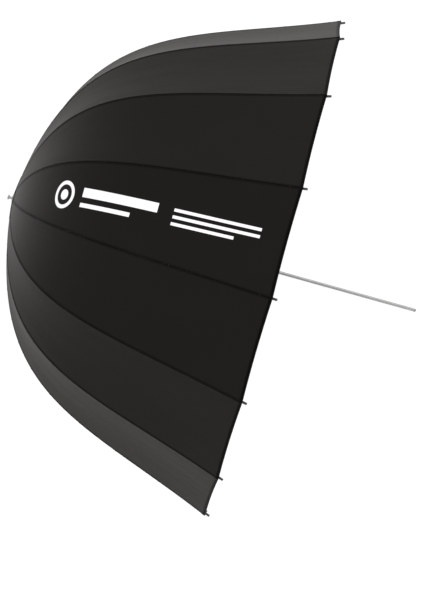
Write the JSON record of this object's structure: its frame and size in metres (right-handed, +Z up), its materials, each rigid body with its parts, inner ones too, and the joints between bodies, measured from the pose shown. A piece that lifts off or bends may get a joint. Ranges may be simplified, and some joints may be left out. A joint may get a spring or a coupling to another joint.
{
  "type": "umbrella reflector",
  "caption": "Deep folding umbrella reflector: black cover with white lining on sprung ribs and stretchers, opened by a runner sliding on a round shaft.",
  "frame": {"origin": "on the shaft's axis where a stand's bracket grips it, 880 mm behind the crown", "axes": "+X along the shaft from the crown to the free end, +Z up, +Y to the left when looking along +X"},
  "size_m": [1.0758, 1.3006, 1.3006],
  "materials": {
    "shaft_steel": "satin zinc",
    "bright_metal": "bright nickel",
    "black_nylon": "moulded nylon",
    "spring_steel": "drawn wire",
    "rib_steel": "black spring steel",
    "stretcher_steel": "black folded steel",
    "black_cloth": "black satin nylon",
    "white_cloth": "white satin nylon"
  },
  "bodies": {
    "frame": {"shaft": "shaft_steel", "ferrule": "bright_metal", "crown_washer": "black_nylon", "crown_hub": "black_nylon", "crown_wire": "spring_steel", "stop_clip": "spring_steel", "end_plug": "black_nylon", "canopy_cover": "black_cloth", "canopy_lining": "white_cloth"},
    "runner": {"runner": "black_nylon", "runner_wire": "spring_steel"},
    "catch": {"open_catch": "spring_steel"},
    "rib_root_01": {"rib_root_01": "rib_steel"},
    "rib_tip_01": {"rib_tip_01": "rib_steel"},
    "stretcher_01": {"stretcher_01": "stretcher_steel"},
    "rib_root_02": {"rib_root_02": "rib_steel"},
    "rib_tip_02": {"rib_tip_02": "rib_steel"},
    "stretcher_02": {"stretcher_02": "stretcher_steel"},
    "rib_root_03": {"rib_root_03": "rib_steel"},
    "rib_tip_03": {"rib_tip_03": "rib_steel"},
    "stretcher_03": {"stretcher_03": "stretcher_steel"},
    "rib_root_04": {"rib_root_04": "rib_steel"},
    "rib_tip_04": {"rib_tip_04": "rib_steel"},
    "stretcher_04": {"stretcher_04": "stretcher_steel"},
    "rib_root_05": {"rib_root_05": "rib_steel"},
    "rib_tip_05": {"rib_tip_05": "rib_steel"},
    "stretcher_05": {"stretcher_05": "stretcher_steel"},
    "rib_root_06": {"rib_root_06": "rib_steel"},
    "rib_tip_06": {"rib_tip_06": "rib_steel"},
    "stretcher_06": {"stretcher_06": "stretcher_steel"},
    "rib_root_07": {"rib_root_07": "rib_steel"},
    "rib_tip_07": {"rib_tip_07": "rib_steel"},
    "stretcher_07": {"stretcher_07": "stretcher_steel"},
    "rib_root_08": {"rib_root_08": "rib_steel"},
    "rib_tip_08": {"rib_tip_08": "rib_steel"},
    "stretcher_08": {"stretcher_08": "stretcher_steel"},
    "rib_root_09": {"rib_root_09": "rib_steel"},
    "rib_tip_09": {"rib_tip_09": "rib_steel"},
    "stretcher_09": {"stretcher_09": "stretcher_steel"},
    "rib_root_10": {"rib_root_10": "rib_steel"},
    "rib_tip_10": {"rib_tip_10": "rib_steel"},
    "stretcher_10": {"stretcher_10": "stretcher_steel"},
    "rib_root_11": {"rib_root_11": "rib_steel"},
    "rib_tip_11": {"rib_tip_11": "rib_steel"},
    "stretcher_11": {"stretcher_11": "stretcher_steel"},
    "rib_root_12": {"rib_root_12": "rib_steel"},
    "rib_tip_12": {"rib_tip_12": "rib_steel"},
    "stretcher_12": {"stretcher_12": "stretcher_steel"},
    "rib_root_13": {"rib_root_13": "rib_steel"},
    "rib_tip_13": {"rib_tip_13": "rib_steel"},
    "stretcher_13": {"stretcher_13": "stretcher_steel"},
    "rib_root_14": {"rib_root_14": "rib_steel"},
    "rib_tip_14": {"rib_tip_14": "rib_steel"},
    "stretcher_14": {"stretcher_14": "stretcher_steel"},
    "rib_root_15": {"rib_root_15": "rib_steel"},
    "rib_tip_15": {"rib_tip_15": "rib_steel"},
    "stretcher_15": {"stretcher_15": "stretcher_steel"},
    "rib_root_16": {"rib_root_16": "rib_steel"},
    "rib_tip_16": {"rib_tip_16": "rib_steel"},
    "stretcher_16": {"stretcher_16": "stretcher_steel"}
  },
  "joints": [
    {"name": "runner_slide", "type": "slide", "parent": "frame", "child": "runner", "axis": [1, 0, 0], "range_m": [0, 0.48315], "deforming": ["canopy_cover", "canopy_lining", "open_catch"]},
    {"name": "catch_press", "type": "slide", "parent": "frame", "child": "catch", "axis": [0, 0, -1], "range_m": [0, 0.003], "stiffness_N_per_m": 400},
    {"name": "rib_hinge_01", "type": "hinge", "parent": "frame", "child": "rib_root_01", "pos_m": [-0.865, 0, 0.016], "axis": [0, 1, 0], "range_deg": [0, 65.67]},
    {"name": "rib_flex_01", "type": "hinge", "parent": "rib_root_01", "child": "rib_tip_01", "pos_m": [-0.73752, 0, 0.37245], "axis": [0, 1, 0], "range_deg": [-37.99, 0]},
    {"name": "stretcher_hinge_01", "type": "hinge", "parent": "rib_root_01", "child": "stretcher_01", "pos_m": [-0.73132, 0, 0.36738], "axis": [0, 1, 0], "range_deg": [-131.34, 0]},
    {"name": "rib_hinge_02", "type": "hinge", "parent": "frame", "child": "rib_root_02", "pos_m": [-0.865, -0.00612, 0.01478], "axis": [0, 0.9239, 0.3827], "range_deg": [0, 65.67]},
    {"name": "rib_flex_02", "type": "hinge", "parent": "rib_root_02", "child": "rib_tip_02", "pos_m": [-0.73752, -0.14253, 0.3441], "axis": [0, 0.9239, 0.3827], "range_deg": [-37.99, 0]},
    {"name": "stretcher_hinge_02", "type": "hinge", "parent": "rib_root_02", "child": "stretcher_02", "pos_m": [-0.73132, -0.14059, 0.33942], "axis": [0, 0.9239, 0.3827], "range_deg": [-131.34, 0]},
    {"name": "rib_hinge_03", "type": "hinge", "parent": "frame", "child": "rib_root_03", "pos_m": [-0.865, -0.01131, 0.01131], "axis": [0, 0.7071, 0.7071], "range_deg": [0, 65.67]},
    {"name": "rib_flex_03", "type": "hinge", "parent": "rib_root_03", "child": "rib_tip_03", "pos_m": [-0.73752, -0.26336, 0.26336], "axis": [0, 0.7071, 0.7071], "range_deg": [-37.99, 0]},
    {"name": "stretcher_hinge_03", "type": "hinge", "parent": "rib_root_03", "child": "stretcher_03", "pos_m": [-0.73132, -0.25978, 0.25978], "axis": [0, 0.7071, 0.7071], "range_deg": [-131.34, 0]},
    {"name": "rib_hinge_04", "type": "hinge", "parent": "frame", "child": "rib_root_04", "pos_m": [-0.865, -0.01478, 0.00612], "axis": [0, 0.3827, 0.9239], "range_deg": [0, 65.67]},
    {"name": "rib_flex_04", "type": "hinge", "parent": "rib_root_04", "child": "rib_tip_04", "pos_m": [-0.73752, -0.3441, 0.14253], "axis": [0, 0.3827, 0.9239], "range_deg": [-37.99, 0]},
    {"name": "stretcher_hinge_04", "type": "hinge", "parent": "rib_root_04", "child": "stretcher_04", "pos_m": [-0.73132, -0.33942, 0.14059], "axis": [0, 0.3827, 0.9239], "range_deg": [-131.34, 0]},
    {"name": "rib_hinge_05", "type": "hinge", "parent": "frame", "child": "rib_root_05", "pos_m": [-0.865, -0.016, 0], "axis": [0, 0, 1], "range_deg": [0, 65.67]},
    {"name": "rib_flex_05", "type": "hinge", "parent": "rib_root_05", "child": "rib_tip_05", "pos_m": [-0.73752, -0.37245, 0], "axis": [0, 0, 1], "range_deg": [-37.99, 0]},
    {"name": "stretcher_hinge_05", "type": "hinge", "parent": "rib_root_05", "child": "stretcher_05", "pos_m": [-0.73132, -0.36738, 0], "axis": [0, 0, 1], "range_deg": [-131.34, 0]},
    {"name": "rib_hinge_06", "type": "hinge", "parent": "frame", "child": "rib_root_06", "pos_m": [-0.865, -0.01478, -0.00612], "axis": [0, -0.3827, 0.9239], "range_deg": [0, 65.67]},
    {"name": "rib_flex_06", "type": "hinge", "parent": "rib_root_06", "child": "rib_tip_06", "pos_m": [-0.73752, -0.3441, -0.14253], "axis": [0, -0.3827, 0.9239], "range_deg": [-37.99, 0]},
    {"name": "stretcher_hinge_06", "type": "hinge", "parent": "rib_root_06", "child": "stretcher_06", "pos_m": [-0.73132, -0.33942, -0.14059], "axis": [0, -0.3827, 0.9239], "range_deg": [-131.34, 0]},
    {"name": "rib_hinge_07", "type": "hinge", "parent": "frame", "child": "rib_root_07", "pos_m": [-0.865, -0.01131, -0.01131], "axis": [0, -0.7071, 0.7071], "range_deg": [0, 65.67]},
    {"name": "rib_flex_07", "type": "hinge", "parent": "rib_root_07", "child": "rib_tip_07", "pos_m": [-0.73752, -0.26336, -0.26336], "axis": [0, -0.7071, 0.7071], "range_deg": [-37.99, 0]},
    {"name": "stretcher_hinge_07", "type": "hinge", "parent": "rib_root_07", "child": "stretcher_07", "pos_m": [-0.73132, -0.25978, -0.25978], "axis": [0, -0.7071, 0.7071], "range_deg": [-131.34, 0]},
    {"name": "rib_hinge_08", "type": "hinge", "parent": "frame", "child": "rib_root_08", "pos_m": [-0.865, -0.00612, -0.01478], "axis": [0, -0.9239, 0.3827], "range_deg": [0, 65.67]},
    {"name": "rib_flex_08", "type": "hinge", "parent": "rib_root_08", "child": "rib_tip_08", "pos_m": [-0.73752, -0.14253, -0.3441], "axis": [0, -0.9239, 0.3827], "range_deg": [-37.99, 0]},
    {"name": "stretcher_hinge_08", "type": "hinge", "parent": "rib_root_08", "child": "stretcher_08", "pos_m": [-0.73132, -0.14059, -0.33942], "axis": [0, -0.9239, 0.3827], "range_deg": [-131.34, 0]},
    {"name": "rib_hinge_09", "type": "hinge", "parent": "frame", "child": "rib_root_09", "pos_m": [-0.865, 0, -0.016], "axis": [0, -1, 0], "range_deg": [0, 65.67]},
    {"name": "rib_flex_09", "type": "hinge", "parent": "rib_root_09", "child": "rib_tip_09", "pos_m": [-0.73752, 0, -0.37245], "axis": [0, -1, 0], "range_deg": [-37.99, 0]},
    {"name": "stretcher_hinge_09", "type": "hinge", "parent": "rib_root_09", "child": "stretcher_09", "pos_m": [-0.73132, 0, -0.36738], "axis": [0, -1, 0], "range_deg": [-131.34, 0]},
    {"name": "rib_hinge_10", "type": "hinge", "parent": "frame", "child": "rib_root_10", "pos_m": [-0.865, 0.00612, -0.01478], "axis": [0, -0.9239, -0.3827], "range_deg": [0, 65.67]},
    {"name": "rib_flex_10", "type": "hinge", "parent": "rib_root_10", "child": "rib_tip_10", "pos_m": [-0.73752, 0.14253, -0.3441], "axis": [0, -0.9239, -0.3827], "range_deg": [-37.99, 0]},
    {"name": "stretcher_hinge_10", "type": "hinge", "parent": "rib_root_10", "child": "stretcher_10", "pos_m": [-0.73132, 0.14059, -0.33942], "axis": [0, -0.9239, -0.3827], "range_deg": [-131.34, 0]},
    {"name": "rib_hinge_11", "type": "hinge", "parent": "frame", "child": "rib_root_11", "pos_m": [-0.865, 0.01131, -0.01131], "axis": [0, -0.7071, -0.7071], "range_deg": [0, 65.67]},
    {"name": "rib_flex_11", "type": "hinge", "parent": "rib_root_11", "child": "rib_tip_11", "pos_m": [-0.73752, 0.26336, -0.26336], "axis": [0, -0.7071, -0.7071], "range_deg": [-37.99, 0]},
    {"name": "stretcher_hinge_11", "type": "hinge", "parent": "rib_root_11", "child": "stretcher_11", "pos_m": [-0.73132, 0.25978, -0.25978], "axis": [0, -0.7071, -0.7071], "range_deg": [-131.34, 0]},
    {"name": "rib_hinge_12", "type": "hinge", "parent": "frame", "child": "rib_root_12", "pos_m": [-0.865, 0.01478, -0.00612], "axis": [0, -0.3827, -0.9239], "range_deg": [0, 65.67]},
    {"name": "rib_flex_12", "type": "hinge", "parent": "rib_root_12", "child": "rib_tip_12", "pos_m": [-0.73752, 0.3441, -0.14253], "axis": [0, -0.3827, -0.9239], "range_deg": [-37.99, 0]},
    {"name": "stretcher_hinge_12", "type": "hinge", "parent": "rib_root_12", "child": "stretcher_12", "pos_m": [-0.73132, 0.33942, -0.14059], "axis": [0, -0.3827, -0.9239], "range_deg": [-131.34, 0]},
    {"name": "rib_hinge_13", "type": "hinge", "parent": "frame", "child": "rib_root_13", "pos_m": [-0.865, 0.016, 0], "axis": [0, 0, -1], "range_deg": [0, 65.67]},
    {"name": "rib_flex_13", "type": "hinge", "parent": "rib_root_13", "child": "rib_tip_13", "pos_m": [-0.73752, 0.37245, 0], "axis": [0, 0, -1], "range_deg": [-37.99, 0]},
    {"name": "stretcher_hinge_13", "type": "hinge", "parent": "rib_root_13", "child": "stretcher_13", "pos_m": [-0.73132, 0.36738, 0], "axis": [0, 0, -1], "range_deg": [-131.34, 0]},
    {"name": "rib_hinge_14", "type": "hinge", "parent": "frame", "child": "rib_root_14", "pos_m": [-0.865, 0.01478, 0.00612], "axis": [0, 0.3827, -0.9239], "range_deg": [0, 65.67]},
    {"name": "rib_flex_14", "type": "hinge", "parent": "rib_root_14", "child": "rib_tip_14", "pos_m": [-0.73752, 0.3441, 0.14253], "axis": [0, 0.3827, -0.9239], "range_deg": [-37.99, 0]},
    {"name": "stretcher_hinge_14", "type": "hinge", "parent": "rib_root_14", "child": "stretcher_14", "pos_m": [-0.73132, 0.33942, 0.14059], "axis": [0, 0.3827, -0.9239], "range_deg": [-131.34, 0]},
    {"name": "rib_hinge_15", "type": "hinge", "parent": "frame", "child": "rib_root_15", "pos_m": [-0.865, 0.01131, 0.01131], "axis": [0, 0.7071, -0.7071], "range_deg": [0, 65.67]},
    {"name": "rib_flex_15", "type": "hinge", "parent": "rib_root_15", "child": "rib_tip_15", "pos_m": [-0.73752, 0.26336, 0.26336], "axis": [0, 0.7071, -0.7071], "range_deg": [-37.99, 0]},
    {"name": "stretcher_hinge_15", "type": "hinge", "parent": "rib_root_15", "child": "stretcher_15", "pos_m": [-0.73132, 0.25978, 0.25978], "axis": [0, 0.7071, -0.7071], "range_deg": [-131.34, 0]},
    {"name": "rib_hinge_16", "type": "hinge", "parent": "frame", "child": "rib_root_16", "pos_m": [-0.865, 0.00612, 0.01478], "axis": [0, 0.9239, -0.3827], "range_deg": [0, 65.67]},
    {"name": "rib_flex_16", "type": "hinge", "parent": "rib_root_16", "child": "rib_tip_16", "pos_m": [-0.73752, 0.14253, 0.3441], "axis": [0, 0.9239, -0.3827], "range_deg": [-37.99, 0]},
    {"name": "stretcher_hinge_16", "type": "hinge", "parent": "rib_root_16", "child": "stretcher_16", "pos_m": [-0.73132, 0.14059, 0.33942], "axis": [0, 0.9239, -0.3827], "range_deg": [-131.34, 0]}
  ],
  "couplings": [
    {"joint": "rib_hinge_01", "follows": "runner_slide", "rad_per_m": 2.3723},
    {"joint": "rib_flex_01", "follows": "runner_slide", "rad_per_m": -1.3722},
    {"joint": "stretcher_hinge_01", "follows": "runner_slide", "rad_per_m": -4.7447},
    {"joint": "rib_hinge_02", "follows": "runner_slide", "rad_per_m": 2.3723},
    {"joint": "rib_flex_02", "follows": "runner_slide", "rad_per_m": -1.3722},
    {"joint": "stretcher_hinge_02", "follows": "runner_slide", "rad_per_m": -4.7447},
    {"joint": "rib_hinge_03", "follows": "runner_slide", "rad_per_m": 2.3723},
    {"joint": "rib_flex_03", "follows": "runner_slide", "rad_per_m": -1.3722},
    {"joint": "stretcher_hinge_03", "follows": "runner_slide", "rad_per_m": -4.7447},
    {"joint": "rib_hinge_04", "follows": "runner_slide", "rad_per_m": 2.3723},
    {"joint": "rib_flex_04", "follows": "runner_slide", "rad_per_m": -1.3722},
    {"joint": "stretcher_hinge_04", "follows": "runner_slide", "rad_per_m": -4.7447},
    {"joint": "rib_hinge_05", "follows": "runner_slide", "rad_per_m": 2.3723},
    {"joint": "rib_flex_05", "follows": "runner_slide", "rad_per_m": -1.3722},
    {"joint": "stretcher_hinge_05", "follows": "runner_slide", "rad_per_m": -4.7447},
    {"joint": "rib_hinge_06", "follows": "runner_slide", "rad_per_m": 2.3723},
    {"joint": "rib_flex_06", "follows": "runner_slide", "rad_per_m": -1.3722},
    {"joint": "stretcher_hinge_06", "follows": "runner_slide", "rad_per_m": -4.7447},
    {"joint": "rib_hinge_07", "follows": "runner_slide", "rad_per_m": 2.3723},
    {"joint": "rib_flex_07", "follows": "runner_slide", "rad_per_m": -1.3722},
    {"joint": "stretcher_hinge_07", "follows": "runner_slide", "rad_per_m": -4.7447},
    {"joint": "rib_hinge_08", "follows": "runner_slide", "rad_per_m": 2.3723},
    {"joint": "rib_flex_08", "follows": "runner_slide", "rad_per_m": -1.3722},
    {"joint": "stretcher_hinge_08", "follows": "runner_slide", "rad_per_m": -4.7447},
    {"joint": "rib_hinge_09", "follows": "runner_slide", "rad_per_m": 2.3723},
    {"joint": "rib_flex_09", "follows": "runner_slide", "rad_per_m": -1.3722},
    {"joint": "stretcher_hinge_09", "follows": "runner_slide", "rad_per_m": -4.7447},
    {"joint": "rib_hinge_10", "follows": "runner_slide", "rad_per_m": 2.3723},
    {"joint": "rib_flex_10", "follows": "runner_slide", "rad_per_m": -1.3722},
    {"joint": "stretcher_hinge_10", "follows": "runner_slide", "rad_per_m": -4.7447},
    {"joint": "rib_hinge_11", "follows": "runner_slide", "rad_per_m": 2.3723},
    {"joint": "rib_flex_11", "follows": "runner_slide", "rad_per_m": -1.3722},
    {"joint": "stretcher_hinge_11", "follows": "runner_slide", "rad_per_m": -4.7447},
    {"joint": "rib_hinge_12", "follows": "runner_slide", "rad_per_m": 2.3723},
    {"joint": "rib_flex_12", "follows": "runner_slide", "rad_per_m": -1.3722},
    {"joint": "stretcher_hinge_12", "follows": "runner_slide", "rad_per_m": -4.7447},
    {"joint": "rib_hinge_13", "follows": "runner_slide", "rad_per_m": 2.3723},
    {"joint": "rib_flex_13", "follows": "runner_slide", "rad_per_m": -1.3722},
    {"joint": "stretcher_hinge_13", "follows": "runner_slide", "rad_per_m": -4.7447},
    {"joint": "rib_hinge_14", "follows": "runner_slide", "rad_per_m": 2.3723},
    {"joint": "rib_flex_14", "follows": "runner_slide", "rad_per_m": -1.3722},
    {"joint": "stretcher_hinge_14", "follows": "runner_slide", "rad_per_m": -4.7447},
    {"joint": "rib_hinge_15", "follows": "runner_slide", "rad_per_m": 2.3723},
    {"joint": "rib_flex_15", "follows": "runner_slide", "rad_per_m": -1.3722},
    {"joint": "stretcher_hinge_15", "follows": "runner_slide", "rad_per_m": -4.7447},
    {"joint": "rib_hinge_16", "follows": "runner_slide", "rad_per_m": 2.3723},
    {"joint": "rib_flex_16", "follows": "runner_slide", "rad_per_m": -1.3722},
    {"joint": "stretcher_hinge_16", "follows": "runner_slide", "rad_per_m": -4.7447}
  ]
}
